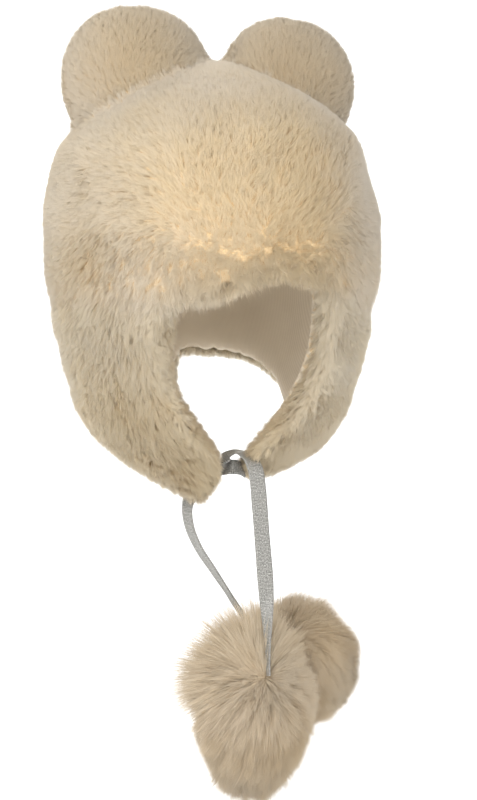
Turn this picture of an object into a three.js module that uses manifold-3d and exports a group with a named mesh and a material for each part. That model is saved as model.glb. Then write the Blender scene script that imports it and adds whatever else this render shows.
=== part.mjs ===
import * as THREE from "three";
import { mergeVertices } from "three/addons/utils/BufferGeometryUtils.js";
import Module from "manifold-3d";

const wasm = await Module();
wasm.setup();

// A deep fur hat with two round ears, ear flaps that close under the chin, and two tied ribbons
// that end in fur pompoms. Lengths are in millimetres. X runs to the wearer's left, Y to the back
// and Z up, from the spot inside the crown that rests on the head. Turns are in degrees round Z,
// from 0 at the front to 90 at the wearer's left and 180 at the back.

// Hollow for the head
const HEAD_HALF_WIDTH = 78;
const HEAD_HALF_LENGTH = 98;
const HEAD_DOME = 100;

// Fur wall, skin and pile together
const TOP_PILE = 34;
const SIDE_PILE = 39;
const FRONT_PILE = 32;
const BACK_PILE = 34;

// Heights below the seat, and the edges
const SEAM_DROP = 134;
const BROW_ARCH = 15;
const FLAP_DROP = 138;
const SHORT_FLAP_RISE = 24;
const BROW_ROUND = 16;
const HEM_ROUND = 15;
const SEAM_TUCK = 2;
const SEAM_SPAN = 16;
const CORNER_TUCK = 8;
const GAP = 0.3;
const SMALLEST_EDGE = 0.02;

// Locks of fur
const CROWN_LOCK = 2.4;
const BROW_LOCK = 4.5;
const FLAP_LOCK = 4;
const HEM_TUFT = 4;
const EAR_LOCK = 2.2;
const POMPOM_LOCK = 6;

// Ears
const EAR_HALF_WIDTH = 57;
const EAR_HALF_HEIGHT = 56;
const EAR_HALF_DEPTH = 26;
const EAR_DISH = 6;
const EAR_TAPER = 0.1;
const EAR_OUT = 55;
const EAR_BACK = 7;
const EAR_RISE = 14;

// Ribbons and pompoms
const RIBBON_WIDTH = 11;
const RIBBON_THICKNESS = 1.4;
const RIBBON_SUNK = 6;
const FRONT_POMPOM_HALF_WIDTH = 48;
const FRONT_POMPOM_HALF_DEPTH = 39;
const FRONT_POMPOM_HALF_HEIGHT = 67;
const BACK_POMPOM_HALF_WIDTH = 45;
const BACK_POMPOM_HALF_DEPTH = 37;
const BACK_POMPOM_HALF_HEIGHT = 49;

// Where the ribbons run into the pompoms
const FRONT_POMPOM_TOP = { out: 12.3, forward: 97, drop: 383 };
const BACK_POMPOM_TOP = { out: 24.5, forward: 29, drop: 366 };

const OUTER_HALF_WIDTH = HEAD_HALF_WIDTH + SIDE_PILE;
const OUTER_FRONT = HEAD_HALF_LENGTH + FRONT_PILE;
const OUTER_BACK = HEAD_HALF_LENGTH + BACK_PILE;

// Outside of the crown. at is the share of the way from its top to the seam, and the other
// columns are shares of the outer half width, front reach and back reach.
const CROWN_FORM = [
  { at: 0, width: 0, front: 0, back: 0 },
  { at: 0.012, width: 0.07, front: 0.11, back: 0.19 },
  { at: 0.03, width: 0.135, front: 0.22, back: 0.33 },
  { at: 0.067, width: 0.265, front: 0.38, back: 0.49 },
  { at: 0.146, width: 0.51, front: 0.62, back: 0.7 },
  { at: 0.23, width: 0.69, front: 0.79, back: 0.83 },
  { at: 0.312, width: 0.845, front: 0.9, back: 0.905 },
  { at: 0.379, width: 0.915, front: 0.945, back: 0.95 },
  { at: 0.506, width: 0.972, front: 0.985, back: 0.985 },
  { at: 0.643, width: 1, front: 1, back: 1 },
  { at: 0.839, width: 0.998, front: 0.995, back: 0.99 },
  { at: 1, width: 0.98, front: 0.96, back: 0.965 },
];

// Outside and inside of the flaps. at is the share of the way from the seam to the longer tip.
const FLAP_OUTSIDE = [
  { at: 0, width: 0.98, front: 0.96, back: 0.965 },
  { at: 0.13, width: 0.945, front: 0.92, back: 0.91 },
  { at: 0.27, width: 0.9, front: 0.87, back: 0.865 },
  { at: 0.42, width: 0.85, front: 0.81, back: 0.83 },
  { at: 0.56, width: 0.795, front: 0.74, back: 0.81 },
  { at: 0.7, width: 0.7, front: 0.65, back: 0.79 },
  { at: 0.79, width: 0.62, front: 0.52, back: 0.78 },
  { at: 0.884, width: 0.5, front: 0.45, back: 0.77 },
  { at: 1, width: 0.36, front: 0.42, back: 0.76 },
];
const FLAP_INSIDE = [
  { at: 0, width: 1, front: 1, back: 1 },
  { at: 0.25, width: 0.94, front: 0.9, back: 0.9 },
  { at: 0.5, width: 0.8, front: 0.7, back: 0.8 },
  { at: 0.71, width: 0.6, front: 0.5, back: 0.74 },
  { at: 0.79, width: 0.48, front: 0.34, back: 0.73 },
  { at: 0.884, width: 0.34, front: 0.3, back: 0.72 },
  { at: 1, width: 0.22, front: 0.27, back: 0.72 },
];

// Seam and brow line: at is the turn, rise a share of BROW_ARCH above the seam's plain height.
const SEAM_LINE = [
  { at: -180, rise: 0 },
  { at: -90, rise: -0.1 },
  { at: -31, rise: 0.08 },
  { at: -20, rise: 0.12 },
  { at: -10, rise: 0.45 },
  { at: 0, rise: 0.85 },
  { at: 10, rise: 1 },
  { at: 20, rise: 0.95 },
  { at: 31, rise: 0.7 },
  { at: 60, rise: -0.2 },
  { at: 90, rise: -0.35 },
  { at: 130, rise: 0 },
  { at: 180, rise: 0 },
];

// Front edge of a flap: at is the share of the flap's drop, turn the angle of the edge.
const OPENING = [
  { at: 0, turn: 30 },
  { at: 0.25, turn: 33.5 },
  { at: 0.44, turn: 31.5 },
  { at: 0.59, turn: 23 },
  { at: 0.71, turn: 13.5 },
  { at: 0.79, turn: 6.5 },
  { at: 1, turn: 5 },
];

// Hem of a flap: at is the share of the way from its front edge to the middle of the back,
// fall the share of the flap's drop.
const HEM = [
  { at: 0, fall: 0.85 },
  { at: 0.06, fall: 0.91 },
  { at: 0.12, fall: 0.96 },
  { at: 0.2, fall: 0.985 },
  { at: 0.28, fall: 0.965 },
  { at: 0.36, fall: 0.925 },
  { at: 0.43, fall: 0.88 },
  { at: 0.51, fall: 0.79 },
  { at: 0.62, fall: 0.62 },
  { at: 0.78, fall: 0.48 },
  { at: 1, fall: 0.44 },
];

// Soft dents in the crown's fur, each a line between two spots. Turns are in degrees, falls are
// shares of the way from the crown's top to the seam, and depth and width are in millimetres.
const DENTS = [
  { turns: [40, 8], falls: [0.34, 0.47], depth: 5, width: 13 },
  { turns: [100, 55], falls: [0.3, 0.52], depth: 5.5, width: 24 },
  { turns: [-62, -28], falls: [0.9, 0.97], depth: 3, width: 15 },
  { turns: [150, 205], falls: [0.62, 0.55], depth: 3, width: 18 },
];

const CROWN_COLUMNS = 60;

const radians = THREE.MathUtils.degToRad;
const { lerp, clamp, smoothstep } = THREE.MathUtils;

// Reads one column of a table at a place between its rows, on a smooth curve through them.
function read(rows, at, column) {
  const last = rows.length - 1;
  const held = clamp(at, rows[0].at, rows[last].at);
  const slope = (i) => {
    const before = rows[Math.max(i - 1, 0)];
    const after = rows[Math.min(i + 1, last)];
    return (after[column] - before[column]) / (after.at - before.at);
  };
  let i = 0;
  while (i < last - 1 && held > rows[i + 1].at) i++;
  const [a, b] = [rows[i], rows[i + 1]];
  const span = b.at - a.at;
  const t = (held - a.at) / span;
  const [t2, t3] = [t * t, t * t * t];
  return (
    (2 * t3 - 3 * t2 + 1) * a[column] +
    (t3 - 2 * t2 + t) * span * slope(i) +
    (3 * t2 - 2 * t3) * b[column] +
    (t3 - t2) * span * slope(i + 1)
  );
}

// Closed solid from a list of rings with equal numbers of points, each end drawn to its middle.
function loft(rings) {
  const around = rings[0].length;
  const points = rings.flat();
  const faces = [];
  for (let r = 0; r + 1 < rings.length; r++)
    for (let i = 0; i < around; i++) {
      const [a, b] = [r * around + i, r * around + ((i + 1) % around)];
      faces.push([a, b, b + around], [a, b + around, a + around]);
    }
  for (const r of [0, rings.length - 1]) {
    const middle = points.length;
    points.push(rings[r].reduce((sum, p) => sum.add(p), new THREE.Vector3()).divideScalar(around));
    for (let i = 0; i < around; i++) {
      const [a, b] = [r * around + i, r * around + ((i + 1) % around)];
      faces.push(r === 0 ? [b, a, middle] : [a, b, middle]);
    }
  }
  return solid(points, faces);
}

// A manifold solid, with alike points merged, faces without area dropped and faces turned outwards.
function solid(points, faces) {
  const loose = new THREE.BufferGeometry().setFromPoints(points);
  loose.setIndex(faces.flat());
  const merged = mergeVertices(loose, 1e-3);
  const index = merged.index.array;
  const kept = [];
  for (let i = 0; i < index.length; i += 3) {
    const [a, b, c] = [index[i], index[i + 1], index[i + 2]];
    if (a !== b && b !== c && c !== a) kept.push([a, b, c]);
  }
  const place = merged.attributes.position;
  const corner = (i) => new THREE.Vector3().fromBufferAttribute(place, i);
  const volume = kept.reduce(
    (sum, [a, b, c]) => sum + corner(a).dot(corner(b).cross(corner(c))),
    0,
  );
  const outward = volume < 0 ? kept.map(([a, b, c]) => [a, c, b]) : kept;
  const mesh = new wasm.Mesh({
    numProp: 3,
    vertProperties: new Float32Array(place.array),
    triVerts: new Uint32Array(outward.flat()),
  });
  return new wasm.Manifold(mesh);
}

// Relief of fur in staggered locks. Each swells along its length and ends in a point over the next.
function lock(round, down) {
  const row = Math.floor(down + 1e-6);
  const place = round + (Math.abs(row) % 2) * 0.5;
  return Math.sin(Math.PI * (place - Math.floor(place))) * (down - row);
}

const crownTop = TOP_PILE;
const crownFall = TOP_PILE + SEAM_DROP;
const fallOf = (z) => (crownTop - z) / crownFall;
const flapFallOf = (z) => (-SEAM_DROP - z) / FLAP_DROP;

// Half width, front reach and back reach at a height, of the outside and of the head hollow.
function outside(z) {
  const above = z > -SEAM_DROP;
  const [rows, at] = above ? [CROWN_FORM, fallOf(z)] : [FLAP_OUTSIDE, flapFallOf(z)];
  return {
    width: read(rows, at, "width") * OUTER_HALF_WIDTH,
    front: read(rows, at, "front") * OUTER_FRONT,
    back: read(rows, at, "back") * OUTER_BACK,
  };
}

function inside(z) {
  if (z > -SEAM_DROP) {
    const left = 1 - clamp(-z / HEAD_DOME, 0, 1);
    const share = (1 - left ** 2.3) ** (1 / 2.3);
    const reach = HEAD_HALF_LENGTH * share;
    return { width: HEAD_HALF_WIDTH * share, front: reach, back: reach };
  }
  const at = flapFallOf(z);
  return {
    width: read(FLAP_INSIDE, at, "width") * HEAD_HALF_WIDTH,
    front: read(FLAP_INSIDE, at, "front") * HEAD_HALF_LENGTH,
    back: read(FLAP_INSIDE, at, "back") * HEAD_HALF_LENGTH,
  };
}

// Point on an oval section at a turn, moved outwards by a distance.
function onOval(oval, turn, z, out = 0) {
  const [s, c] = [Math.sin(radians(turn)), Math.cos(radians(turn))];
  const reach = c > 0 ? oval.front : oval.back;
  const away = new THREE.Vector2(s * reach, -c * oval.width).normalize().multiplyScalar(out);
  return new THREE.Vector3(oval.width * s + away.x, -reach * c + away.y, z);
}

const middleOf = (turn, z) =>
  onOval(inside(z), turn, z)
    .add(onOval(outside(z), turn, z))
    .multiplyScalar(0.5);

// Height of the seam, in straight lines between the turns at which the crown has points.
function seamHeight(turn) {
  const step = 360 / CROWN_COLUMNS;
  const before = Math.floor(turn / step) * step;
  const [from, to] = [before, before + step].map((at) => read(SEAM_LINE, at, "rise"));
  return -SEAM_DROP + BROW_ARCH * lerp(from, to, (turn - before) / step);
}

// How far the crown's dents sink its fur at a spot.
function dentDepth(turn, z) {
  const reach = OUTER_HALF_WIDTH;
  const flat = (t, h) => new THREE.Vector3(radians(t) * reach, h, 0);
  return DENTS.reduce((sum, dent) => {
    const shifted = dent.turns[0] > 90 && turn < 0 ? turn + 360 : turn;
    const [from, to] = [0, 1].map((i) => flat(dent.turns[i], crownTop - dent.falls[i] * crownFall));
    const spot = flat(shifted, z);
    const nearest = new THREE.Line3(from, to).closestPointToPoint(spot, true, new THREE.Vector3());
    return sum + dent.depth * Math.exp(-((nearest.distanceTo(spot) / dent.width) ** 2));
  }, 0);
}

// How far both pieces turn in at the seam between them.
function seamTuck(turn, z, extra) {
  const near = 1 - clamp(Math.abs(z - seamHeight(turn)) / SEAM_SPAN, 0, 1);
  return (SEAM_TUCK + extra) * near * near;
}

// Crown

const CROWN_ROWS = 15;
const CROWN_LOCKS = 15;
const CROWN_LOCK_ROWS = 5;
const EDGE_ROWS = 3;
const HOLLOW_ROWS = 8;
const BROW_TURNS = [19, 30];

const crownTurns = Array.from(
  { length: CROWN_COLUMNS },
  (_, i) => -180 + (360 * i) / CROWN_COLUMNS,
);
const isBrow = (turn) => 1 - smoothstep(Math.abs(turn), ...BROW_TURNS);

// The brow's edge hangs in tufts, one at the end of each lock.
const browEdge = (turn) => {
  const tuft = Math.sin(Math.PI * ((((turn + 180) / 360) * CROWN_LOCKS * 2) % 1));
  return seamHeight(turn) - isBrow(turn) * HEM_TUFT * tuft;
};

// Places along the crown's height, from its top to where its edge starts to round.
const crownShares = Array.from({ length: CROWN_ROWS }, (_, i) => ((i + 1) / CROWN_ROWS) ** 1.55);

function crownRing(row, out) {
  return crownTurns.map((turn) => {
    const z = lerp(crownTop, browEdge(turn) + BROW_ROUND, crownShares[row]);
    const size = Math.min(1, outside(z).width / (OUTER_HALF_WIDTH / 2));
    const deep = lerp(CROWN_LOCK, BROW_LOCK, isBrow(turn) * smoothstep(crownShares[row], 0.5, 1));
    const fur = deep * lock(((turn + 180) / 360) * CROWN_LOCKS, (row / CROWN_ROWS) * CROWN_LOCK_ROWS);
    const sunk = dentDepth(turn, z) + seamTuck(turn, z, 0);
    const point = onOval(outside(z), turn, z, size * fur - sunk + out);
    point.z += out;
    return point;
  });
}

// Rounding edge, from the full wall at step 0 to the closed edge at the last step. Where a flap is
// sewn on, the wall stays whole.
function crownEdgeRing(step, isOutside, out) {
  const bend = (step / EDGE_ROWS) * (Math.PI / 2);
  return crownTurns.map((turn) => {
    const z = browEdge(turn) + BROW_ROUND * (1 - Math.sin(bend)) - out * Math.sin(bend);
    const full = lerp(1, Math.cos(bend), isBrow(turn));
    const oval = isOutside ? outside(z) : inside(z);
    const grown = isOutside ? out - seamTuck(turn, z, 0) * (1 - isBrow(turn)) : -out;
    return middleOf(turn, z).lerp(onOval(oval, turn, z, grown), full);
  });
}

function hollowRing(row, out) {
  const share = (1 - row / HOLLOW_ROWS) ** 1.8;
  return crownTurns.map((turn) => {
    const z = (browEdge(turn) + BROW_ROUND) * share;
    return onOval(inside(z), turn, z, -out * share);
  });
}

const steps = (count) => Array.from({ length: count }, (_, i) => i);

function crownSolid(out) {
  const edge = steps(EDGE_ROWS + 1).slice(1);
  return loft([
    ...steps(CROWN_ROWS).map((row) => crownRing(row, out)),
    ...edge.map((step) => crownEdgeRing(step, true, out)),
    ...edge.reverse().map((step) => crownEdgeRing(step, false, out)),
    ...steps(HOLLOW_ROWS).map((row) => hollowRing(row, out)),
  ]);
}

// The crown's outside without its hollow, grown by the gap, which cuts the seats of the ears.
const crownEnvelope = () => loft(steps(CROWN_ROWS).map((row) => crownRing(row, GAP)));

// Ear flaps

const FLAP_ROWS = 11;
const FLAP_LOCKS = 13;
const FLAP_LOCK_ROWS = 4;

const openingTurn = (fall) => read(OPENING, fall, "turn");
const flapReach = radians(180 - openingTurn(0)) * OUTER_HALF_WIDTH;

// Places round a flap, with the share of the wall kept there: a rounded front edge, and then
// columns halfway between those of the crown.
const roundShare = HEM_ROUND / flapReach;
const flapPlaces = [
  ...steps(EDGE_ROWS + 1).map((step) => {
    const bend = (1 - step / EDGE_ROWS) * (Math.PI / 2);
    return { around: roundShare * (1 - Math.sin(bend)), full: step === 0 ? 0 : Math.cos(bend) };
  }),
  ...[...crownTurns.map((turn) => turn + 180 / CROWN_COLUMNS), 180]
    .map((turn) => (turn - openingTurn(0)) / (180 - openingTurn(0)))
    .filter((around) => around > roundShare * 1.2)
    .map((around) => ({ around, full: 1 })),
];

function flapPoint(side, place, down, isOutside, full, fur) {
  const { around } = place;
  const corner = openingTurn(0);
  const top = seamHeight(side * lerp(corner, 180, around)) + GAP * 5;
  const tuft = HEM_TUFT * Math.sin(Math.PI * ((around * FLAP_LOCKS * 2) % 1));
  const rise = side > 0 ? SHORT_FLAP_RISE * smoothstep(around, -0.2, 0.4) : 0;
  const low = -SEAM_DROP - FLAP_DROP * read(HEM, around, "fall") + rise - tuft;
  const z = lerp(top, low, down);
  const turn = lerp(openingTurn((top - z) / FLAP_DROP), 180 - GAP / 3, around);
  const oval = isOutside ? outside(z) : inside(z);
  const extra = CORNER_TUCK * (side > 0 ? 1 : 0.3) * (1 - smoothstep(turn, 35, 85));
  const sunk = isOutside ? seamTuck(side * turn, z, extra) : 0;
  const wall = onOval(oval, turn, z, isOutside ? fur - sunk : 0);
  const point = middleOf(turn, z).lerp(wall, full * place.full);
  point.x *= side;
  return point;
}

function flapRing(side, place) {
  const edgeShare = HEM_ROUND / (FLAP_DROP * read(HEM, place.around, "fall"));
  const outer = steps(FLAP_ROWS).map((row) => {
    const down = (row / FLAP_ROWS) * (1 - edgeShare);
    const depth = FLAP_LOCK * Math.min(1, row / 3);
    const fur = depth * lock(place.around * FLAP_LOCKS, (row / FLAP_ROWS) * FLAP_LOCK_ROWS);
    return flapPoint(side, place, down, true, 1, fur);
  });
  const edge = (isOutside) =>
    steps(EDGE_ROWS + (isOutside ? 1 : 0)).map((step) => {
      const bend = (step / EDGE_ROWS) * (Math.PI / 2);
      const down = 1 - edgeShare * (1 - Math.sin(bend));
      return flapPoint(side, place, down, isOutside, Math.cos(bend), 0);
    });
  const inner = steps(FLAP_ROWS).map((row) =>
    flapPoint(side, place, (row / FLAP_ROWS) * (1 - edgeShare), false, 1, 0),
  );
  return [...outer, ...edge(true), ...edge(false).reverse(), ...inner.reverse()];
}

// The top of a flap is cut to the lower edge of the crown, grown by the gap.
const flapSolid = (side, grownCrown) =>
  loft(flapPlaces.map((place) => flapRing(side, place))).subtract(grownCrown);

// Bear ears

const EAR_COLUMNS = 24;
const EAR_ROWS = 14;
const EAR_LOCKS = 8;
const EAR_LOCK_ROWS = 5;
const EAR_FULLNESS = 2.1;

const bulge = (share) => Math.sign(share) * Math.abs(share) ** (2 / EAR_FULLNESS);

// A plump rounded disc with a shallow dish in its front, its base cut to sit on the crown. out is a
// share of EAR_OUT, and lean the turn of its top towards the other ear.
function earSolid({ side, size, out, lift, lean }, seat) {
  const middle = new THREE.Vector3(side * out * EAR_OUT, EAR_BACK, EAR_RISE + lift);
  const leaning = new THREE.Quaternion().setFromAxisAngle(
    new THREE.Vector3(0, 1, 0),
    radians(-side * lean),
  );
  const rings = steps(EAR_ROWS - 1).map((row) => {
    const rise = (Math.PI * (row + 1)) / EAR_ROWS;
    const ring = bulge(Math.sin(rise));
    const height = -bulge(Math.cos(rise));
    const half = EAR_HALF_WIDTH * size * (1 - (EAR_TAPER * (1 - height)) / 2);
    return steps(EAR_COLUMNS).map((column) => {
      const turn = (2 * Math.PI * column) / EAR_COLUMNS;
      const fur = EAR_LOCK * lock((column / EAR_COLUMNS) * EAR_LOCKS, (row / EAR_ROWS) * EAR_LOCK_ROWS);
      const inFront = Math.max(0, Math.cos(turn)) ** 2 * ring;
      return new THREE.Vector3(
        bulge(Math.sin(turn)) * ring * half,
        -Math.cos(turn) * ring * (EAR_HALF_DEPTH + fur) + EAR_DISH * inFront,
        height * EAR_HALF_HEIGHT * size,
      )
        .applyQuaternion(leaning)
        .add(middle);
    });
  });
  return loft(rings).subtract(seat);
}

// Ribbons. Points are chosen by hand: where the ribbon runs, and the way its flat side faces.

const placeOf = ({ out, forward, drop }) => [out, -forward, -drop];

const RIGHT_RIBBON = [
  { at: [-9, -43, -247], faces: [0.2, -0.4, 1] },
  { at: [-4.4, -46, -242], faces: [0.2, -0.4, 1] },
  { at: [-0.5, -47, -238.5], faces: [-0.2, -0.4, 1] },
  { at: [5, -52, -237], faces: [0.2, -0.4, 1] },
  { at: [9.5, -60, -239.5], faces: [0.2, -1, 0.8] },
  { at: [12, -66, -247], faces: [0.1, -1, 0.3] },
  { at: [13, -69, -257], faces: [0.05, -1, 0.15] },
  { at: [13.6, -71, -270], faces: [0, -1, 0.15] },
  { at: [14.2, -74, -288], faces: [0.1, -1, 0.2] },
  { at: [14.6, -78, -307], faces: [0, -1, 0.22] },
  { at: [14.6, -83, -326], faces: [-0.2, -1, 0.25] },
  { at: [14, -88, -345], faces: [-0.75, -0.9, 0.28] },
  { at: [13, -92.5, -362], faces: [-1, -0.5, 0.28] },
  { at: placeOf(FRONT_POMPOM_TOP), faces: [-1, -0.12, 0.25] },
];
const LEFT_RIBBON = [
  { at: [10, -46, -250], faces: [0, -1, 0.6] },
  { at: [5, -50, -247.5], faces: [0, -1, 0.6] },
  { at: [0.5, -50.5, -247], faces: [-0.1, -1, 0.6] },
  { at: [-2.2, -46, -247.5], faces: [-1, -0.8, 0.5] },
  { at: [-2.8, -37, -249], faces: [-1, -0.1, 0.4] },
  { at: [-5, -28, -252], faces: [-1, -0.3, 0.3] },
  { at: [-10.5, -21, -257], faces: [-0.9, -0.8, 0.3] },
  { at: [-18, -19, -265], faces: [-0.8, -0.9, 0.3] },
  { at: [-23, -19.5, -276], faces: [-1, -0.5, 0] },
  { at: [-22, -21, -290], faces: [-1, -0.35, 0] },
  { at: [-16, -23, -305], faces: [-1, -0.3, -0.3] },
  { at: [-6.5, -25, -320], faces: [-1, -0.3, -0.4] },
  { at: [2.5, -27, -334], faces: [-1, -0.3, -0.4] },
  { at: [10, -28.5, -346], faces: [-0.9, -0.6, -0.5] },
  { at: [17, -29.5, -356], faces: [-0.8, -0.8, -0.6] },
  { at: placeOf(BACK_POMPOM_TOP), faces: [-0.8, -0.8, -0.8] },
];
const RIBBON_SIDES = 8;
const RIBBON_STEPS = 26;

const routeOf = (rows) => new THREE.CatmullRomCurve3(rows.map((row) => new THREE.Vector3(...row.at)));

const grow = (length, out) => length + Math.sign(length) * out;

function ribbonSolid(rows, out) {
  const route = routeOf(rows);
  const facing = new THREE.CatmullRomCurve3(rows.map((row) => new THREE.Vector3(...row.faces)));
  return loft(
    steps(RIBBON_STEPS + 1).map((step) => {
      const share = step / RIBBON_STEPS;
      const along = route.getTangent(share);
      const across = new THREE.Vector3().crossVectors(facing.getPoint(share), along).normalize();
      const through = new THREE.Vector3().crossVectors(along, across).normalize();
      const past = out * (step === 0 ? -1 : Math.floor(share));
      const spot = route.getPoint(share).addScaledVector(along, past);
      return steps(RIBBON_SIDES).map((i) => {
        const turn = (2 * Math.PI * (i + 0.5)) / RIBBON_SIDES;
        return spot
          .clone()
          .addScaledVector(across, grow(bulge(Math.cos(turn)) * (RIBBON_WIDTH / 2), out))
          .addScaledVector(through, grow(Math.sin(turn) * (RIBBON_THICKNESS / 2), out));
      });
    }),
  );
}

// Pompoms

const POMPOM_COLUMNS = 28;
const POMPOM_ROWS = 17;
const POMPOM_LOCKS = 7;
const POMPOM_LOCK_ROWS = 5;

// An oval ball of locks that spread from the ribbon's end. pole points from the middle to there.
function pompomSolid(middle, halves, pole, out) {
  const turned = new THREE.Quaternion().setFromUnitVectors(
    new THREE.Vector3(0, 0, 1),
    pole.clone().normalize(),
  );
  const rings = steps(POMPOM_ROWS - 1).map((row) => {
    const down = (Math.PI * (row + 1)) / POMPOM_ROWS;
    return steps(POMPOM_COLUMNS).map((column) => {
      const turn = (2 * Math.PI * column) / POMPOM_COLUMNS;
      const way = new THREE.Vector3(
        Math.sin(down) * Math.cos(turn),
        Math.sin(down) * Math.sin(turn),
        Math.cos(down),
      ).applyQuaternion(turned);
      const locks = lock(
        (column / POMPOM_COLUMNS) * POMPOM_LOCKS,
        (row / POMPOM_ROWS) * POMPOM_LOCK_ROWS,
      );
      const fur = POMPOM_LOCK * (locks - 1) * Math.sin(down) + out;
      return way
        .clone()
        .multiply(halves)
        .addScaledVector(way, fur)
        .add(middle);
    });
  });
  return loft(rings);
}

// The middle of a pompom whose ribbon ends just under its fur, at the pole.
function hungFrom(rows, pole, halves) {
  const end = new THREE.Vector3(...rows[rows.length - 1].at);
  const way = pole.clone().normalize();
  const surface = 1 / Math.hypot(way.x / halves.x, way.y / halves.y, way.z / halves.z);
  return end.addScaledVector(way, RIBBON_SUNK - surface);
}

const frontHalves = new THREE.Vector3(
  FRONT_POMPOM_HALF_WIDTH,
  FRONT_POMPOM_HALF_DEPTH,
  FRONT_POMPOM_HALF_HEIGHT,
);
const backHalves = new THREE.Vector3(
  BACK_POMPOM_HALF_WIDTH,
  BACK_POMPOM_HALF_DEPTH,
  BACK_POMPOM_HALF_HEIGHT,
);
const FRONT_POLE = new THREE.Vector3(0.01, -0.75, 0.7);
const BACK_POLE = new THREE.Vector3(-0.85, -0.1, 0.5);
const frontMiddle = hungFrom(RIGHT_RIBBON, FRONT_POLE, frontHalves);
const backMiddle = hungFrom(LEFT_RIBBON, BACK_POLE, backHalves);

// Assembly

const fur = new THREE.MeshStandardMaterial({ color: "#dcc8a8", roughness: 0.95, metalness: 0 });
const earFur = new THREE.MeshStandardMaterial({ color: "#cdb99c", roughness: 0.95, metalness: 0 });
const flapFur = new THREE.MeshStandardMaterial({ color: "#d3c0a2", roughness: 0.95, metalness: 0 });
const pompomFur = new THREE.MeshStandardMaterial({ color: "#cdb898", roughness: 0.95, metalness: 0 });
const satin = new THREE.MeshStandardMaterial({ color: "#c3beb6", roughness: 0.4, metalness: 0.1 });

const hat = new THREE.Group();
hat.name = "bear_ear_hat";

function add(name, shape, material) {
  const { numProp, vertProperties, triVerts } = shape.asOriginal().simplify(SMALLEST_EDGE).getMesh();
  const geometry = new THREE.BufferGeometry();
  geometry.setAttribute("position", new THREE.BufferAttribute(vertProperties, numProp));
  geometry.setIndex(new THREE.BufferAttribute(triVerts, 1));
  const mesh = new THREE.Mesh(geometry, material);
  mesh.name = name;
  hat.add(mesh);
}

const seat = crownEnvelope();
const ribbonBeds = [RIGHT_RIBBON, LEFT_RIBBON].map((rows) => ribbonSolid(rows, GAP * 1.1));
const parted = (shape) => ribbonBeds.reduce((left, bed) => left.subtract(bed), shape);
const grownCrown = crownSolid(GAP);
add("crown", crownSolid(0), fur);
add("ear_flap_right", parted(flapSolid(-1, grownCrown)), flapFur);
add("ear_flap_left", parted(flapSolid(1, grownCrown)), flapFur);
add("bear_ear_right", earSolid({ side: -1, size: 1, out: 0.95, lift: 0, lean: 0 }, seat), earFur);
add("bear_ear_left", earSolid({ side: 1, size: 0.94, out: 1.02, lift: -2, lean: -10 }, seat), earFur);
add("tie_ribbon_right", ribbonSolid(RIGHT_RIBBON, 0), satin);
add("tie_ribbon_left", ribbonSolid(LEFT_RIBBON, 0), satin);
add("pompom_front", parted(pompomSolid(frontMiddle, frontHalves, FRONT_POLE, 0)), pompomFur);
add(
  "pompom_back",
  parted(
    pompomSolid(backMiddle, backHalves, BACK_POLE, 0).subtract(
      pompomSolid(frontMiddle, frontHalves, FRONT_POLE, GAP * 1.3),
    ),
  ),
  pompomFur,
);

export default hat;
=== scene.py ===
import math
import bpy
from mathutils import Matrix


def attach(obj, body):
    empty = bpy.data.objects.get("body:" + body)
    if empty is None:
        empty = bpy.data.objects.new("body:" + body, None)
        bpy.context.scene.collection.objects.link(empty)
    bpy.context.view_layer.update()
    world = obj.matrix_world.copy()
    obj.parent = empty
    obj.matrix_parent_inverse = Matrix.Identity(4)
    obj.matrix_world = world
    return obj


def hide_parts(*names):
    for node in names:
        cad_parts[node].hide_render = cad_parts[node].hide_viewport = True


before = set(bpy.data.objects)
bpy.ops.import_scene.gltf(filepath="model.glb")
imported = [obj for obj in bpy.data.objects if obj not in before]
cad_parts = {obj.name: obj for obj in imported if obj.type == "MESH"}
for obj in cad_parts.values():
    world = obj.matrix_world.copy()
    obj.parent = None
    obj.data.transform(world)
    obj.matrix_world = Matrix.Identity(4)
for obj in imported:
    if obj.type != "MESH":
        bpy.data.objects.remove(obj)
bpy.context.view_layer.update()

from types import SimpleNamespace

import bpy
import numpy as np
from mathutils import Matrix
from mathutils.bvhtree import BVHTree
from mathutils.kdtree import KDTree

# The looks of a plush fur hat with two bear ears, ear flaps and two ribbons that end in pompoms.
# Lengths are in metres. X runs to the hat's left as worn, Y to the back and Z up, from the seat
# inside the top of the crown.

rng = np.random.default_rng(4734)

FLOOR_HEIGHT = -0.492
RIBBON_WIDTH = 0.011
RIBBON_THICKNESS = 0.0013


# Camera and light

VIEW_TURN = math.radians(-16)
VIEW_RISE = math.radians(3)
VIEW_DISTANCE = 1.6
VIEW_HEIGHT = 0.56
AIM = np.array([0.0, 0.0, -0.204])
AIM_ASIDE = 0.01855


def facing(turn, rise):
    """Right, up and backward directions of something that looks at the hat from there."""
    right = np.array([math.cos(turn), math.sin(turn), 0.0])
    back = np.array(
        [math.sin(turn) * math.cos(rise), -math.cos(turn) * math.cos(rise), math.sin(rise)]
    )
    return right, np.cross(back, right), back


def look_at(thing, aim, turn, rise, distance):
    right, up, back = facing(turn, rise)
    place = np.eye(4)
    place[:3, 0], place[:3, 1], place[:3, 2] = right, up, back
    place[:3, 3] = aim + back * distance
    thing.matrix_world = Matrix(place.tolist())


def add_object(name, data):
    thing = bpy.data.objects.new(name, data)
    bpy.context.scene.collection.objects.link(thing)
    return thing


camera = add_object("camera", bpy.data.cameras.new("camera"))
camera.data.sensor_width = 36
camera.data.lens = 36 * VIEW_DISTANCE / VIEW_HEIGHT
camera.data.clip_end = 50
look_at(camera, AIM + facing(VIEW_TURN, 0)[0] * AIM_ASIDE, VIEW_TURN, VIEW_RISE, VIEW_DISTANCE)
bpy.context.scene.camera = camera


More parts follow.
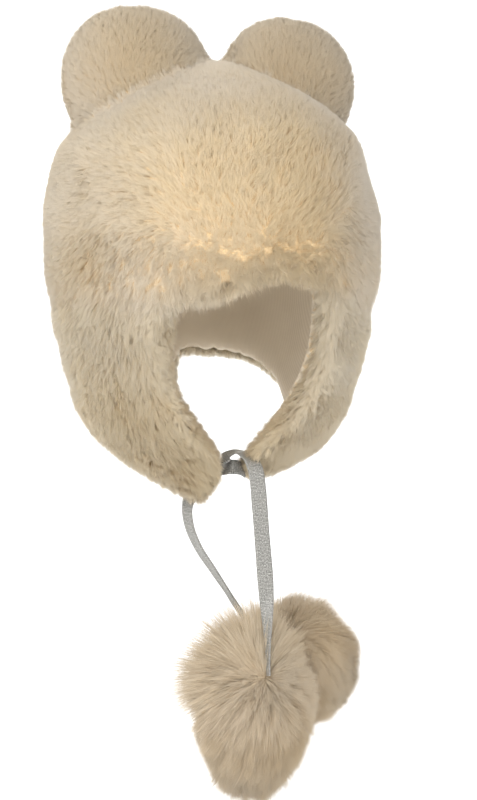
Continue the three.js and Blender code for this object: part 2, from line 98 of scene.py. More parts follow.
def softbox(name, turn, rise, distance, size, watts, colour):
    lamp = bpy.data.lights.new(name, "AREA")
    lamp.shape = "DISK"
    lamp.size = size
    lamp.energy = watts
    lamp.color = colour
    look_at(add_object(name, lamp), AIM, math.radians(turn), math.radians(rise), distance)


softbox("key_softbox", -46, 28, 2.4, 1.6, 43, (1.0, 0.985, 0.96))
softbox("fill_softbox", 20, 10, 2.6, 1.8, 20, (1.0, 0.985, 0.97))
softbox("back_softbox", 165, 35, 2.4, 1.4, 26, (0.98, 0.99, 1.0))


# Shader maths

class Shade:
    """A socket of a material's nodes, joined to numbers and other sockets by + and *."""

    def __init__(self, nodes, socket):
        self.nodes, self.socket = nodes, socket

    def math(self, kind, other):
        return self.nodes.add("ShaderNodeMath", {"operation": kind}, {0: self, 1: other})

    def __add__(self, other):
        return self.math("ADD", other)

    def __mul__(self, other):
        return self.math("MULTIPLY", other)

    __radd__, __rmul__ = __add__, __mul__


LIGHT_THROUGH = 0.5


class Finish:
    """A material, with one method that adds any of its nodes."""

    def __init__(self, name):
        self.material = bpy.data.materials.new(name)
        self.material.use_nodes = True
        self.tree = self.material.node_tree
        self.tree.nodes.clear()

    def add(self, kind, settings=None, values=None, out=0):
        node = self.tree.nodes.new(kind)
        for key, value in (settings or {}).items():
            if key == "stops":
                self.set_stops(node.color_ramp, value)
            else:
                setattr(node, key, value)
        for key, value in (values or {}).items():
            if isinstance(value, Shade):
                self.tree.links.new(value.socket, node.inputs[key])
            else:
                node.inputs[key].default_value = value
        return None if out is None else Shade(self, node.outputs[out])

    @staticmethod
    def set_stops(ramp, stops):
        while len(ramp.elements) > 1:
            ramp.elements.remove(ramp.elements[-1])
        for i, (place, colour) in enumerate(stops):
            stop = ramp.elements[0] if i == 0 else ramp.elements.new(place)
            stop.position, stop.color = place, (*linear(colour), 1)

    def surface(self, glow=None, **values):
        """The finish of Principled values, with light shining through it in the colour of glow."""
        named = {key.replace("_", " "): value for key, value in values.items()}
        shader = self.add("ShaderNodeBsdfPrincipled", {}, named)
        if glow:
            through = self.add("ShaderNodeBsdfTranslucent", {}, {"Color": (*linear(glow), 1)})
            shader = self.add("ShaderNodeMixShader", {}, {0: LIGHT_THROUGH, 1: shader, 2: through})
        self.add("ShaderNodeOutputMaterial", {}, {"Surface": shader}, out=None)
        return self.material

    def mix(self, share, a, b):
        return self.add("ShaderNodeMix", {"data_type": "RGBA"}, {0: share, 6: a, 7: b}, out=2)


def linear(colour):
    """A colour named by its 0 to 255 screen values, as the shader's light values."""
    part = np.asarray(colour, float) / 255
    return tuple(np.where(part <= 0.04045, part / 12.92, ((part + 0.055) / 1.055) ** 2.4).tolist())


def mixed(a, b, share):
    return tuple(float(x + (y - x) * share) for x, y in zip(a, b))


def root_to_tip(root, colour, at_root, at_third, at_tip):
    """A hair's colours: shares of its own colour over a root in painted shade, and of near white at the
    tip.
    """
    return [
        (0.0, mixed(root, colour, at_root)),
        (0.35, mixed(root, colour, at_third)),
        (0.72, colour),
        (1.0, mixed(colour, (255, 250, 240), at_tip)),
    ]


def fur_finish(name, cool, warm, root, sheen):
    """Fur whose colour runs with its own map: across from cool to warm, up from root to tip."""
    finish = Finish(name)
    spot = finish.add("ShaderNodeUVMap", {"uv_map": "OFBake"})
    across, along = (finish.add("ShaderNodeSeparateXYZ", {}, {0: spot}, out=i) for i in (0, 1))
    cool_stops = {"stops": root_to_tip(root, cool, 0.1, 0.65, 0.42)}
    warm_stops = {"stops": root_to_tip(root, warm, 0.0, 0.6, 0.34)}
    cool_ramp = finish.add("ShaderNodeValToRGB", cool_stops, {0: along})
    warm_ramp = finish.add("ShaderNodeValToRGB", warm_stops, {0: along})
    return finish.surface(
        glow=mixed(cool, warm, 0.4),
        Base_Color=finish.mix(across, cool_ramp, warm_ramp),
        Roughness=0.88,
        Specular_IOR_Level=0.18,
        Sheen_Weight=sheen,
        Sheen_Roughness=0.45,
        Sheen_Tint=(1.0, 0.95, 0.88, 1.0),
    )


# Meshes

def mesh_from(name, points, faces, material):
    """A mesh from arrays of points and of triangles or quads."""
    mesh = bpy.data.meshes.new(name)
    points, faces = np.asarray(points, np.float32), np.asarray(faces, np.int32)
    sides = faces.shape[1]
    mesh.vertices.add(len(points))
    mesh.vertices.foreach_set("co", points.ravel())
    mesh.loops.add(faces.size)
    mesh.loops.foreach_set("vertex_index", faces.ravel())
    mesh.polygons.add(len(faces))
    mesh.polygons.foreach_set("loop_start", np.arange(0, faces.size, sides, dtype=np.int32))
    mesh.polygons.foreach_set("use_smooth", np.full(len(faces), True))
    if material:
        mesh.materials.append(material)
    mesh.update(calc_edges=True)
    return mesh


def unit(vectors):
    return vectors / np.maximum(np.linalg.norm(vectors, axis=-1, keepdims=True), 1e-12)


def dot(a, b):
    return (a * b).sum(-1, keepdims=True)


def step(values, low, high):
    share = np.clip((values - low) / (high - low), 0, 1)
    return share * share * (3 - 2 * share)


NOISE_TABLE = rng.uniform(-1, 1, 8192)


def drift(points, size, seed=0):
    """Smooth noise from -1 to 1 whose swells are about as long as size."""
    spot = points / size + seed * 17.31
    low = np.floor(spot).astype(np.int64)
    part = spot - low
    part = part * part * (3 - 2 * part)
    total = np.zeros(len(points))
    for corner in range(8):
        pick = np.array([corner & 1, corner >> 1 & 1, corner >> 2 & 1])
        cell = low + pick
        key = (cell[:, 0] * 73856093) ^ (cell[:, 1] * 19349663) ^ (cell[:, 2] * 83492791)
        share = np.prod(np.where(pick, part, 1 - part), axis=1)
        total += share * NOISE_TABLE[key & 8191]
    return total


def swirl(places, size, seed):
    return np.column_stack([drift(places, size, seed + k) for k in range(3)])


def node_mesh(node):
    """The CAD node's points and triangles."""
    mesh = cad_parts[node].data.copy()
    mesh.calc_loop_triangles()
    points = np.empty(len(mesh.vertices) * 3)
    mesh.vertices.foreach_get("co", points)
    triangles = np.empty(len(mesh.loop_triangles) * 3, np.int32)
    mesh.loop_triangles.foreach_get("vertices", triangles)
    bpy.data.meshes.remove(mesh)
    return points.reshape(-1, 3), triangles.reshape(-1, 3)


def smooth_form(nodes, cell, rounds):
    """The CAD nodes' forms as one even, softened mesh, and the node that each point belongs to."""
    meshes = [node_mesh(node) for node in nodes]
    starts = np.cumsum([0] + [len(points) for points, _ in meshes])
    joined = mesh_from(
        "joined", np.vstack([points for points, _ in meshes]),
        np.vstack([triangles + start for (_, triangles), start in zip(meshes, starts)]), None,
    )
    copy = add_object("joined", joined)
    remesh = copy.modifiers.new("even", "REMESH")
    remesh.mode = "VOXEL"
    remesh.voxel_size = cell
    even = copy.evaluated_get(bpy.context.evaluated_depsgraph_get()).to_mesh()
    even.calc_loop_triangles()
    points = np.empty(len(even.vertices) * 3)
    even.vertices.foreach_get("co", points)
    points = points.reshape(-1, 3)
    triangles = np.empty(len(even.loop_triangles) * 3, np.int32)
    even.loop_triangles.foreach_get("vertices", triangles)
    triangles = triangles.reshape(-1, 3)
    edges = np.empty(len(even.edges) * 2, np.int32)
    even.edges.foreach_get("vertices", edges)
    edges = edges.reshape(-1, 2)
    bpy.data.objects.remove(copy)
    bpy.data.meshes.remove(joined)
    trees = [BVHTree.FromPolygons(p.tolist(), t.tolist()) for p, t in meshes]
    reach = np.array([[tree.find_nearest(point)[3] for tree in trees] for point in points.tolist()])
    degree = np.bincount(edges.ravel(), minlength=len(points))[:, None]
    for _ in range(rounds):
        total = np.zeros_like(points)
        np.add.at(total, edges[:, 0], points[edges[:, 1]])
        np.add.at(total, edges[:, 1], points[edges[:, 0]])
        points = points * 0.4 + 0.6 * total / np.maximum(degree, 1)
    return SimpleNamespace(
        points=points, triangles=triangles, normals=normals_of(points, triangles),
        owner=np.argmin(reach, axis=1), nodes=list(nodes),
    )


def normals_of(points, triangles):
    a, b, c = (points[triangles[:, i]] for i in range(3))
    across = np.cross(b - a, c - a)
    total = np.zeros_like(points)
    for i in range(3):
        np.add.at(total, triangles[:, i], across)
    return unit(total)


def scattered(form, count, weights):
    """Random spots on a form, as many to each triangle as its area and weight ask."""
    a, b, c = (form.points[form.triangles[:, i]] for i in range(3))
    sizes = np.linalg.norm(np.cross(b - a, c - a), axis=1) * weights
    ends = np.cumsum(sizes)
    chosen = np.searchsorted(ends, rng.random(count) * ends[-1])
    share = rng.random((count, 2))
    over = share.sum(1) > 1
    share[over] = 1 - share[over]
    parts = np.column_stack([1 - share.sum(1), share])
    corners = form.triangles[chosen]
    places = (form.points[corners] * parts[:, :, None]).sum(1)
    normals = unit((form.normals[corners] * parts[:, :, None]).sum(1))
    return places, normals


def nearest(seeds, places):
    """The number of the seed next to each place."""
    tree = KDTree(len(seeds))
    for i, seed in enumerate(seeds):
        tree.insert(seed, i)
    tree.balance()
    return np.array([tree.find(place)[1] for place in places])


def leaning(vectors, towards, angles):
    """Vectors turned by angles towards others at right angles to them."""
    return vectors * np.cos(angles)[:, None] + towards * np.sin(angles)[:, None]


def turned(vectors, axes, angles):
    """Vectors turned about axes at right angles to them."""
    return leaning(vectors, np.cross(axes, vectors), angles)


# Fur. Angles of lean are in degrees from upright.

LEAN_SCATTER = 7
LEAN_LEAST, LEAN_MOST = 2, 74
SHORTEST_COSINE = 0.3
TWIST = 0.45
MAP_HALF_WIDTH = 0.0015


def fur(name, material, places, normals, comb, pile, lie, width, tuft, spread, gather, warmth, light,
        ragged, shade, hang=0.0, form_radius=np.inf, proud=0.0):
    """Hairs as thin blades. They stand in the skin, lean along comb, and meet in tufts at their tips.

    pile is the height of the fur over its skin, and proud how far single hairs may stand over it.
    lie is the lean from upright in degrees, hang how far the tips sink, and form_radius the
    roundness of the form that the hairs follow. tuft is the number of tufts for each hair, spread
    how far hairs and tufts turn from their comb, gather how closely the tips of a tuft meet, and
    ragged how uneven their lengths are. warmth and light are from 0 to 1, and shade is how dark the
    roots are.
    """
    count = len(places)
    pile, spread, gather = (np.broadcast_to(value, count) for value in (pile, spread, gather))
    leaders = rng.choice(count, max(8, int(count * tuft)), replace=False)
    tufts = nearest(places[leaders], places)
    tuft_turn = (rng.normal(0, 1, len(leaders)) * spread[leaders])[tufts]
    tuft_long, tuft_light, tuft_warm = (rng.normal(0, 1, len(leaders))[tufts] for _ in range(3))
    comb = unit(comb - dot(comb, normals) * normals + 1e-9)
    comb = turned(comb, normals, tuft_turn + rng.normal(0, spread * 0.5, count))
    lean = np.radians(np.clip(lie + rng.normal(0, LEAN_SCATTER, count), LEAN_LEAST, LEAN_MOST))
    height = pile * (1 + 0.5 * ragged * tuft_long) * (1 + 0.35 * ragged * rng.normal(0, 1, count))
    height = height + proud * rng.random(count) ** 3
    length = height / np.maximum(np.cos(lean), SHORTEST_COSINE)
    way = unit(leaning(normals, comb, lean))
    roots = places - normals * pile[:, None]
    tips = roots + way * length[:, None]
    centre = np.zeros((len(leaders), 3))
    np.add.at(centre, tufts, tips)
    centre /= np.maximum(np.bincount(tufts, minlength=len(leaders)), 1)[:, None]
    across = unit(np.cross(way, normals) + 1e-9)
    across = turned(across, way, rng.normal(0, TWIST, count))
    tips = tips + (centre[tufts] - tips) * gather[:, None]
    aside = length * np.sin(lean)
    tips = tips - normals * (aside**2 / (2 * form_radius))[:, None]
    tips[:, 2] -= hang
    half = (width * (0.75 + 0.5 * rng.random(count)))[:, None] / 2
    # u holds the hue and v the lightness of each hair, from the root in painted shade to the paler tip
    hue = np.clip(warmth + 0.06 * tuft_warm + rng.normal(0, 0.05, count), 0.01, 0.985)
    glow = light + 0.025 * tuft_light + rng.normal(0, 0.035, count)
    low, high = np.clip(glow - 0.62 * shade, 0.01, 0.9), np.clip(glow + 0.25, 0.55, 0.99)
    soft = unit(normals + 0.1 * rng.normal(0, 1, (count, 3)))
    points = np.stack([roots - across * half, roots + across * half, tips], 1).reshape(-1, 3)
    shown = np.stack([soft, soft, unit(soft + 0.25 * way)], 1).reshape(-1, 3)
    sideways = [hue - MAP_HALF_WIDTH, hue + MAP_HALF_WIDTH, hue]
    spots = np.stack([np.stack(sideways, 1), np.stack([low, low, high], 1)], -1).reshape(-1, 2)
    faces = np.arange(len(points)).reshape(-1, 3)
    # each blade faces outwards
    a, b, c = (points[faces[:, i]] for i in range(3))
    away = (np.cross(b - a, c - a) * normals).sum(1)
    faces[away < 0] = faces[away < 0][:, ::-1]
    mesh = mesh_from(name, points, faces, material)
    layer = mesh.uv_layers.new(name="OFBake")
    layer.data.foreach_set("uv", spots[faces.ravel()].astype(np.float32).ravel())
    mesh.normals_split_custom_set_from_vertices(shown)
    piece = add_object(name, mesh)
    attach(piece, "root")
    return piece


def backing(name, form, node, furry, pile):
    """The skin under one node's fur, which is at the form's surface where it is bare."""
    mine = form.owner[form.triangles] == form.nodes.index(node)
    triangles = form.triangles[mine.sum(1) > 1]
    used, faces = np.unique(triangles, return_inverse=True)
    points = (form.points - form.normals * (pile * furry)[:, None])[used]
    mesh = mesh_from(name, points, faces.reshape(-1, 3), pelt)
    mesh.materials.append(lining)
    bare = furry[triangles].mean(1) < 0.4
    mesh.polygons.foreach_set("material_index", bare.astype(np.int32))
    piece = add_object(name, mesh)
    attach(piece, "root")
    return piece


# Finishes

def cloth_finish(name, pale, dark, roughness, threads):
    """A fine plain weave, drawn by two crossed sets of threads."""
    finish = Finish(name)
    spot = finish.add("ShaderNodeTexCoord", {}, {}, out=3)
    waves = [
        finish.add(
            "ShaderNodeTexWave",
            {"wave_type": "BANDS", "bands_direction": way, "wave_profile": "SIN"},
            {"Vector": spot, "Scale": threads, "Distortion": 0.6, "Detail": 1.0},
            out=1,
        )
        for way in ("X", "Z")
    ]
    weave = waves[0] * 0.5 + waves[1] * 0.5
    cloud = finish.add("ShaderNodeTexNoise", {}, {"Vector": spot, "Scale": 26.0, "Detail": 4.0})
    tone = weave * 0.45 + cloud * 0.55
    ramp = finish.add("ShaderNodeValToRGB", {"stops": [(0.25, dark), (0.7, pale)]}, {0: tone})
    bump = finish.add("ShaderNodeBump", {}, {"Strength": 0.25, "Distance": 0.0004, "Height": weave})
    return finish.surface(Base_Color=ramp, Roughness=roughness, Normal=bump, Sheen_Weight=0.2)


# The root colours are darker than the hair: painted shade deep in the fur.
CROWN_COOL, CROWN_WARM, CROWN_SHADED_ROOT = (236, 229, 217), (236, 218, 182), (214, 196, 165)
FLAP_COOL, FLAP_WARM, FLAP_SHADED_ROOT = (238, 231, 217), (242, 227, 195), (227, 206, 169)
EAR_COOL, EAR_WARM, EAR_SHADED_ROOT = (221, 211, 194), (226, 210, 181), (206, 186, 152)
POM_COOL, POM_WARM, POM_SHADED_ROOT = (224, 211, 190), (224, 205, 172), (188, 162, 122)

crown_fur = fur_finish("crown_fur_finish", CROWN_COOL, CROWN_WARM, CROWN_SHADED_ROOT, 0.25)
flap_fur = fur_finish("flap_fur_finish", FLAP_COOL, FLAP_WARM, FLAP_SHADED_ROOT, 0.25)
ear_fur = fur_finish("ear_fur_finish", EAR_COOL, EAR_WARM, EAR_SHADED_ROOT, 0.25)
pompom_fur = fur_finish("pompom_fur_finish", POM_COOL, POM_WARM, POM_SHADED_ROOT, 0.3)
pelt = cloth_finish("pelt_finish", (226, 202, 162), (206, 178, 136), 0.9, 260.0)
lining = cloth_finish("lining_finish", (226, 214, 194), (204, 190, 168), 0.7, 420.0)


def ribbon_finish():
    """Grey satin ribbon with a fine rib and a salt and pepper speckle."""
    finish = Finish("ribbon_finish")
    spot = finish.add("ShaderNodeUVMap", {"uv_map": "OFBake"})
    stretch = finish.add("ShaderNodeMapping", {}, {0: spot, 3: (11.0, 148.0, 1.0)})
    speckle = finish.add(
        "ShaderNodeTexNoise", {}, {"Vector": stretch, "Scale": 1.15, "Detail": 3.0, "Roughness": 0.7}
    )
    rib = finish.add(
        "ShaderNodeTexWave",
        {"wave_type": "BANDS", "bands_direction": "Y"},
        {"Vector": stretch, "Scale": 0.42, "Distortion": 1.2, "Detail": 1.0},
        out=1,
    )
    tone = speckle * 0.8 + rib * 0.2
    stops = [
        (0.32, (56, 55, 53)), (0.44, (104, 103, 99)), (0.58, (146, 145, 140)), (0.72, (196, 195, 190)),
    ]
    ramp = finish.add("ShaderNodeValToRGB", {"stops": stops}, {0: tone})
    bump = finish.add("ShaderNodeBump", {}, {"Strength": 0.5, "Distance": 0.0003, "Height": tone})
    return finish.surface(Base_Color=ramp, Roughness=0.42, Normal=bump, Sheen_Weight=0.3)


ribbon_cloth = ribbon_finish()


# Ribbons: where each runs, in millimetres, and the way its flat side faces

RIGHT_ROUTE = [
    ((-9, -43, -247), (0.2, -0.4, 1)),
    ((-4.4, -46, -242), (0.2, -0.4, 1)),
    ((-0.5, -47, -238.5), (-0.2, -0.4, 1)),
    ((5, -52, -237), (0.2, -0.4, 1)),
    ((9.5, -60, -239.5), (0.2, -1, 0.8)),
    ((12, -66, -247), (0.1, -1, 0.3)),
    ((13, -69, -257), (0.05, -1, 0.15)),
    ((13.6, -71, -270), (0, -1, 0.15)),
    ((14.2, -74, -288), (0.1, -1, 0.2)),
    ((14.6, -78, -307), (0, -1, 0.22)),
    ((14.6, -83, -326), (-0.2, -1, 0.25)),
    ((14, -88, -345), (-0.75, -0.9, 0.28)),
    ((13, -92.5, -362), (-1, -0.5, 0.28)),
    ((12.3, -97, -383), (-1, -0.12, 0.25)),
]
LEFT_ROUTE = [
    ((10, -46, -250), (0, -1, 0.6)),
    ((5, -50, -247.5), (0, -1, 0.6)),
    ((0.5, -50.5, -247), (-0.1, -1, 0.6)),
    ((-2.2, -46, -247.5), (-1, -0.8, 0.5)),
    ((-2.8, -37, -249), (-1, -0.1, 0.4)),
    ((-5, -28, -252), (-1, -0.3, 0.3)),
    ((-10.5, -21, -257), (-0.9, -0.8, 0.3)),
    ((-18, -19, -265), (-0.8, -0.9, 0.3)),
    ((-23, -19.5, -276), (-1, -0.5, 0)),
    ((-22, -21, -290), (-1, -0.35, 0)),
    ((-16, -23, -305), (-1, -0.3, -0.3)),
    ((-6.5, -25, -320), (-1, -0.3, -0.4)),
    ((2.5, -27, -334), (-1, -0.3, -0.4)),
    ((10, -28.5, -346), (-0.9, -0.6, -0.5)),
    ((17, -29.5, -356), (-0.8, -0.8, -0.6)),
    ((24.5, -29, -366), (-0.8, -0.8, -0.8)),
]
RIBBON_STEPS = 150
RIBBON_FLAT = 8
RIBBON_WAVE, RIBBON_WAVE_LENGTH = 0.00022, 0.017
DRAWN_IN_LENGTH, DRAWN_IN_SHARE = 0.07, 0.62


def curve_through(points, count):
    """Points on a smooth curve through the given ones, evenly shared between them."""
    points = np.asarray(points, float)
    held = np.vstack([2 * points[0] - points[1], points, 2 * points[-1] - points[-2]])
    at = np.linspace(0, len(points) - 1, count)
    first = np.minimum(at.astype(int), len(points) - 2)
    part = (at - first)[:, None]
    p0, p1, p2, p3 = (held[first + i] for i in range(4))
    gaps = [np.maximum(np.linalg.norm(b - a, axis=1, keepdims=True), 1e-9) ** 0.5
            for a, b in ((p0, p1), (p1, p2), (p2, p3))]
    t1 = ((p1 - p0) / gaps[0] - (p2 - p0) / (gaps[0] + gaps[1]) + (p2 - p1) / gaps[1]) * gaps[1]
    t2 = ((p2 - p1) / gaps[1] - (p3 - p1) / (gaps[1] + gaps[2]) + (p3 - p2) / gaps[2]) * gaps[1]
    square, cube = part**2, part**3
    return (
        (2 * cube - 3 * square + 1) * p1
        + (cube - 2 * square + part) * t1
        + (3 * square - 2 * cube) * p2
        + (cube - square) * t2
    )


def ribbon(name, route):
    """A woven strip with a cord along each edge and a slight wave in its flat."""
    line = curve_through([place for place, _ in route], RIBBON_STEPS) * 0.001
    faces_way = curve_through([way for _, way in route], RIBBON_STEPS)
    along = unit(np.gradient(line, axis=0))
    across = unit(np.cross(faces_way, along))
    through = unit(np.cross(along, across))
    lengths = np.concatenate([[0], np.cumsum(np.linalg.norm(np.diff(line, axis=0), axis=1))])
    half, thick = RIBBON_WIDTH / 2, RIBBON_THICKNESS / 2
    shares = np.linspace(-1, 1, RIBBON_FLAT + 1)
    edge = np.where(np.abs(shares) > 0.99, 0.5, np.where(np.abs(shares) > 0.7, 1.0, 0.62))
    section = [(share, rise) for share, rise in zip(shares, edge)]
    section += [(share, -rise) for share, rise in zip(shares[::-1], edge[::-1])]
    tied = step(lengths, lengths[-1] - DRAWN_IN_LENGTH, lengths[-1] - 0.002)
    drawn_in = (1 - DRAWN_IN_SHARE * tied)[:, None]
    rings = []
    for share, rise in section:
        turn = lengths * 2 * math.pi / RIBBON_WAVE_LENGTH + share * 1.4
        wave = RIBBON_WAVE * np.sin(turn) * (1 - share**2)
        off = across * (share * half) * drawn_in + through * (rise * thick + wave)[:, None]
        rings.append(line + off)
    points = np.stack(rings, 1)
    sides = len(section)
    index = np.arange(RIBBON_STEPS * sides).reshape(RIBBON_STEPS, sides)
    after = np.roll(index, -1, axis=1)
    quads = np.stack([index[:-1], after[:-1], after[1:], index[1:]], -1).reshape(-1, 4)
    mesh = mesh_from(name, points.reshape(-1, 3), quads, ribbon_cloth)
    down = lengths / lengths[-1]
    over = np.array([(share + 1) / 2 * 0.96 + 0.02 for share, _ in section])
    over = over + np.where(np.arange(sides) < sides / 2, 0.0, 0.004)
    spots = np.stack(np.broadcast_arrays(over[None, :], (0.01 + 0.98 * down)[:, None]), -1)
    layer = mesh.uv_layers.new(name="OFBake")
    layer.data.foreach_set("uv", spots.reshape(-1, 2)[quads.ravel()].astype(np.float32).ravel())
    piece = add_object(name, mesh)
    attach(piece, "root")
    return piece, line, float(lengths[-1])


right_ribbon, right_line, right_length = ribbon("ribbon_right_cloth", RIGHT_ROUTE)
left_ribbon, left_line, left_length = ribbon("ribbon_left_cloth", LEFT_ROUTE)
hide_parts("tie_ribbon_right")
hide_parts("tie_ribbon_left")


# Pompoms: long hair that falls away from the ribbon's end

WISPS_WAY = np.array([-0.42, -0.1, 0.9])
CORE_SHARE = 0.6


def pompom(name, node, ribbon_end, hairs, wisps):
    """A soft core, and hair that parts where the ribbon is tied. wisps is how far stray hairs reach."""
    form = smooth_form([node], 0.0045, 6)
    middle = (form.points.min(0) + form.points.max(0)) / 2
    core = mesh_from(name + "_core", middle + (form.points - middle) * CORE_SHARE, form.triangles, pelt)
    core = add_object(name + "_core", core)
    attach(core, "root")
    pole = unit(ribbon_end - middle)
    facing_pole = (unit(form.points - middle) * pole).sum(1)[form.triangles].mean(1)
    places, normals = scattered(form, hairs, 1 + 1.6 * step(facing_pole, 0.8, 0.98))
    reach = np.linalg.norm(places - middle, axis=1)
    out = unit(places - middle)
    away = unit(out - pole)
    near = step((out * pole).sum(1), 0.88, 0.985)
    far = step(-(out @ pole), 0.0, 0.8)
    wild = step(out @ unit(WISPS_WAY), 0.55, 0.95)
    comb = away + 0.3 * np.array([0, 0, -1.0]) + 0.5 * swirl(places, 0.03, 31)
    comb = comb * (1 - near)[:, None] + near[:, None] * (away + 0.6 * swirl(places, 0.012, 37))
    # Painted light: the hair is lighter at the pole and on the far side, and its roots are less shaded
    # there and in the wisps.
    piece = fur(
        name + "_hair", pompom_fur, places, unit(normals + out), comb=comb,
        pile=reach * (0.34 - 0.12 * near),
        lie=55 - 15 * near - 14 * wild - 20 * far,
        width=0.0006, tuft=0.02, spread=0.2, gather=0.16,
        warmth=np.clip(0.5 + 0.4 * drift(places, 0.035, 33), 0, 1),
        light=0.66 + 0.07 * drift(places, 0.024, 35) + 0.04 * near + 0.1 * far,
        ragged=0.2, shade=0.6 - 0.3 * near - 0.35 * far - 0.2 * wild,
        form_radius=0.038 + 0.05 * unit(comb)[:, 2] ** 2, proud=wild * wisps,
    )
    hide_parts(node)
    return piece, core


front_pompom = pompom("pompom_front", "pompom_front", right_line[-1], hairs=110000, wisps=0.034)
back_pompom = pompom("pompom_back", "pompom_back", left_line[-1], hairs=76000, wisps=0.008)

for cloth, line, length, hung in (
    (right_ribbon, right_line, right_length, front_pompom),
    (left_ribbon, left_line, left_length, back_pompom),
):
    line[::5].tolist() + [line[-1].tolist()]


# The hat: one skin for the crown, the flaps and the ears, so that the fur runs across their seams

CROWN_HAIRS, FLAP_HAIRS, EAR_HAIRS = 300000, 130000, 74000
HAT = ["crown", "ear_flap_right", "ear_flap_left", "bear_ear_right", "bear_ear_left"]
hat = smooth_form(HAT, 0.004, 5)
# the furry side faces away from the middle of the hollow, and the ears are furry all round
outward = hat.points - np.array([0, 0, -0.09])
outward[:, 2] = np.maximum(outward[:, 2], 0)
hat_furry = step((hat.normals * unit(outward)).sum(1), -0.8, -0.6)
hat_furry[hat.owner >= 3] = 1
HAT_PILE = np.where(hat.owner >= 3, 0.0055, np.where(hat.owner == 0, 0.006, 0.007))


def roots_on(node, count):
    """Spots for hairs on one node's furry side, and their normals."""
    mine = (hat.owner[hat.triangles] == HAT.index(node)).sum(1) > 1
    weights = mine * step(hat_furry[hat.triangles].mean(1), 0.3, 0.7)
    return scattered(hat, count, weights)


def brow_share(places):
    """1 at the brow over the face opening, fading upwards and to the sides."""
    turn = np.degrees(np.arctan2(places[:, 0], -places[:, 1]))
    return step(-np.abs(turn), -52, -30) * step(-places[:, 2], 0.085, 0.125)


def furred(name, node, finish, hairs, style):
    """One node's skin, and its hair in a front and a back piece."""
    skin = backing(name + "_backing", hat, node, hat_furry, HAT_PILE)
    places, normals = roots_on(node, hairs)
    in_front = places[:, 1] < np.median(places[:, 1])
    for end, mine in (("front", in_front), ("back", ~in_front)):
        spots, ways = places[mine], normals[mine]
        piece = fur(f"{name}_hair_{end}", finish, spots, ways, **style(spots, ways))
        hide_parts(node)
    return skin


def aside_of(places):
    """0 over the middle of the face opening, and 1 from its sides on."""
    turn = np.degrees(np.abs(np.arctan2(places[:, 0], -places[:, 1])))
    return step(turn, 14, 42)


def wavy_height(places):
    return places[:, 2] + 0.008 * drift(places, 0.02, 47)


def nap(places):
    """The way the fur lies: back over the crown from the brow, and down and forward on the flaps."""
    still = np.zeros(len(places))
    flap = step(-places[:, 2], 0.09, 0.25)
    aside = aside_of(places)
    lift = -0.9 * places[:, 1] / 0.11
    lift = np.where(lift > 0, lift * (1 - 0.7 * aside), lift)
    over = np.column_stack([still, still + 0.6, lift])
    down = np.column_stack([-np.sign(places[:, 0]) * 0.3 * flap, -0.55 * flap, still - 0.8])
    height = wavy_height(places)
    crown = step(height, -0.13 - 0.04 * aside, -0.086 + 0.08 * aside)[:, None]
    comb = over * crown + down * (1 - crown)
    return comb + (0.45 + 0.5 * flap)[:, None] * swirl(places, 0.028, 11)


def hue_of(places):
    """Warm gold in the middle of the front, cooler cream at the sides and in drifting patches."""
    side = np.abs(places[:, 0]) / 0.118
    top = step(places[:, 2], -0.13, -0.07)
    cooler = np.where(places[:, 0] < 0, 0.35, 0.65)
    warm = (0.82 - cooler * side**1.6) * top + (0.6 - 0.2 * side) * (1 - top)
    warm = warm - 0.25 * step(places[:, 0], 0.02, 0.08) - 0.4 * step(places[:, 2], -0.04, 0.01)
    return np.clip(warm + 0.32 * drift(places, 0.05, 4), 0, 1)


def crown_style(places, normals):
    brow = brow_share(places)
    hem = step(-places[:, 2], 0.09, 0.145) * (1 - brow)
    fringe = brow * step(-places[:, 2], 0.12, 0.138)
    parting = np.exp(-((wavy_height(places) + 0.108) / 0.015) ** 2) * (1 - 0.8 * aside_of(places))
    fore = step(-places[:, 1], -0.02, 0.05)
    right = step(-places[:, 0], 0.02, 0.09)
    patches = 0.06 * drift(places, 0.035, 6) + 0.03 * drift(places, 0.012, 8)
    # light holds painted light on the hat's right side, at the hem and at the back, and painted shade
    # along the parting; shade darkens the roots as painted shade, most at the brow and the hem, least
    # at the back and on the right side.
    return dict(
        comb=nap(places) + brow[:, None] * np.array([0, -0.2, -1.2]),
        pile=0.0062 + 0.001 * hem + 0.0031 * brow,
        lie=30 + 13 * fore + 3 * hem + 10 * brow - 6 * parting,
        width=0.00046, tuft=0.05, spread=0.4 + 1.2 * parting, gather=0.2 + 0.08 * hem + 0.2 * brow,
        warmth=np.clip(hue_of(places) + 0.1 * parting - 0.2 * fringe, 0, 1),
        light=0.6 + patches + 0.12 * right + 0.24 * hem + 0.08 * brow - 0.2 * parting
        + 0.08 * fringe + 0.24 * (1 - fore),
        hang=0.003 * brow, ragged=0.1 + 0.05 * hem + 0.1 * brow,
        shade=0.25 + 0.1 * hem + 0.5 * brow - 0.15 * (1 - fore) - 0.08 * right,
    )


def flap_style(places, normals):
    low = step(-places[:, 2], 0.15, 0.25)
    patches = 0.07 * drift(places, 0.035, 6) + 0.035 * drift(places, 0.012, 8)
    # light is painted shade, darker low on the flaps and on the hat's left side, and shade darkens the
    # lower roots more as painted shade.
    return dict(
        comb=nap(places), pile=0.0072, lie=44, width=0.00048, tuft=0.045, spread=0.42, gather=0.28,
        warmth=hue_of(places), light=0.82 - 0.34 * low - 0.05 * (places[:, 0] > 0) + patches,
        hang=0.001, ragged=0.15, shade=0.4 + 0.2 * low,
    )


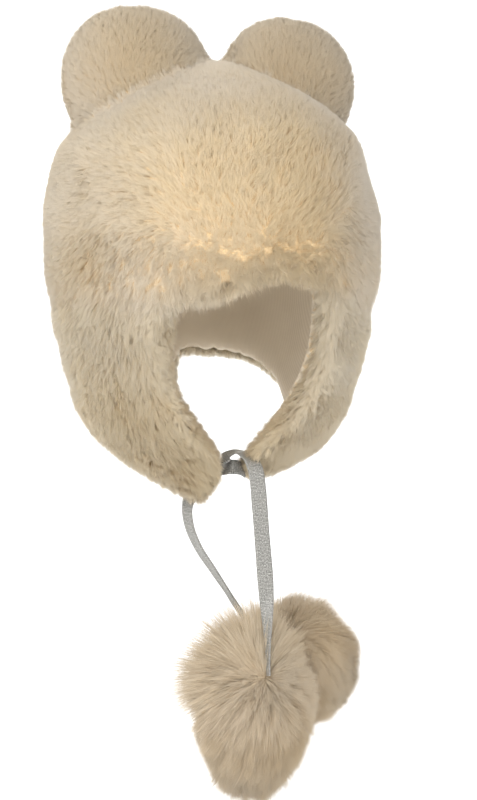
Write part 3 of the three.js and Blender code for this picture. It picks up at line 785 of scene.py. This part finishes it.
def ear_style(places, normals):
    low, high = places.min(0), places.max(0)
    base = np.array([(low[0] + high[0]) / 2, (low[1] + high[1]) / 2, low[2]])
    front = step(-normals[:, 1], -0.2, 0.4)
    left = places[:, 0] > 0
    rim = np.clip(np.linalg.norm((places - (low + high) / 2)[:, [0, 2]], axis=1) / 0.05, 0, 1)
    warmth = 0.5 + front * (0.45 - 0.8 * rim**2) - 0.3 * left
    light = 0.7 - front * (0.14 - 0.14 * rim**2) - 0.1 * left
    # warmth and light paint shade in the ear's cup, warmer and darker in the middle of the front than
    # at its rim, and light darkens the left ear as painted shade; shade darkens the roots on the front
    # as painted shade.
    return dict(
        comb=unit(places - base) + 0.6 * swirl(places, 0.03, 21),
        pile=0.0058, lie=42, width=0.00046, tuft=0.05, spread=0.35, gather=0.2,
        warmth=np.clip(warmth + 0.25 * drift(places, 0.035, 24), 0, 1),
        light=light + 0.06 * drift(places, 0.03, 26),
        ragged=0.1, shade=0.35 - 0.25 * (1 - front),
    )


furred("crown", "crown", crown_fur, CROWN_HAIRS, crown_style)
furred("flap_right", "ear_flap_right", flap_fur, FLAP_HAIRS, flap_style)
furred("flap_left", "ear_flap_left", flap_fur, FLAP_HAIRS, flap_style)
for side in ("right", "left"):
    stuffing = furred("ear_" + side, "bear_ear_" + side, ear_fur, EAR_HAIRS, ear_style)


# Floor and backdrop in one pale sweep

def sweep():
    finish = Finish("sweep_finish")
    spot = finish.add("ShaderNodeTexCoord", {}, {}, out=3)
    cloud = finish.add("ShaderNodeTexNoise", {}, {"Vector": spot, "Scale": 1.2, "Detail": 2.0})
    stops = [(0.3, (250, 250, 250)), (0.7, (253, 253, 253))]
    ramp = finish.add("ShaderNodeValToRGB", {"stops": stops}, {0: cloud})
    material = finish.surface(Base_Color=ramp, Roughness=0.9, Specular_IOR_Level=0.1)
    radius, centre = 1.4, 1.2
    profile = [(-3.0, 0.0), (centre, 0.0)]
    profile += [
        (centre + radius * math.sin(a), radius * (1 - math.cos(a)))
        for a in np.linspace(0.1, math.pi / 2, 14)
    ]
    profile += [(centre + radius, 4.5)]
    right, _, back = facing(VIEW_TURN, 0)
    points = [
        (right * x - back * y + np.array([0, 0, FLOOR_HEIGHT + z])).tolist()
        for y, z in profile
        for x in (-5.0, 5.0)
    ]
    faces = [[2 * i, 2 * i + 1, 2 * i + 3, 2 * i + 2] for i in range(len(profile) - 1)]
    piece = add_object("sweep", mesh_from("sweep", points, faces, material))


sweep()

world = bpy.data.worlds.new("studio")
world.use_nodes = True
background = world.node_tree.nodes["Background"]
background.inputs["Color"].default_value = (1.0, 1.0, 1.0, 1.0)
background.inputs["Strength"].default_value = 0.85
bpy.context.scene.world = world
bpy.context.scene.view_settings.view_transform = "Standard"
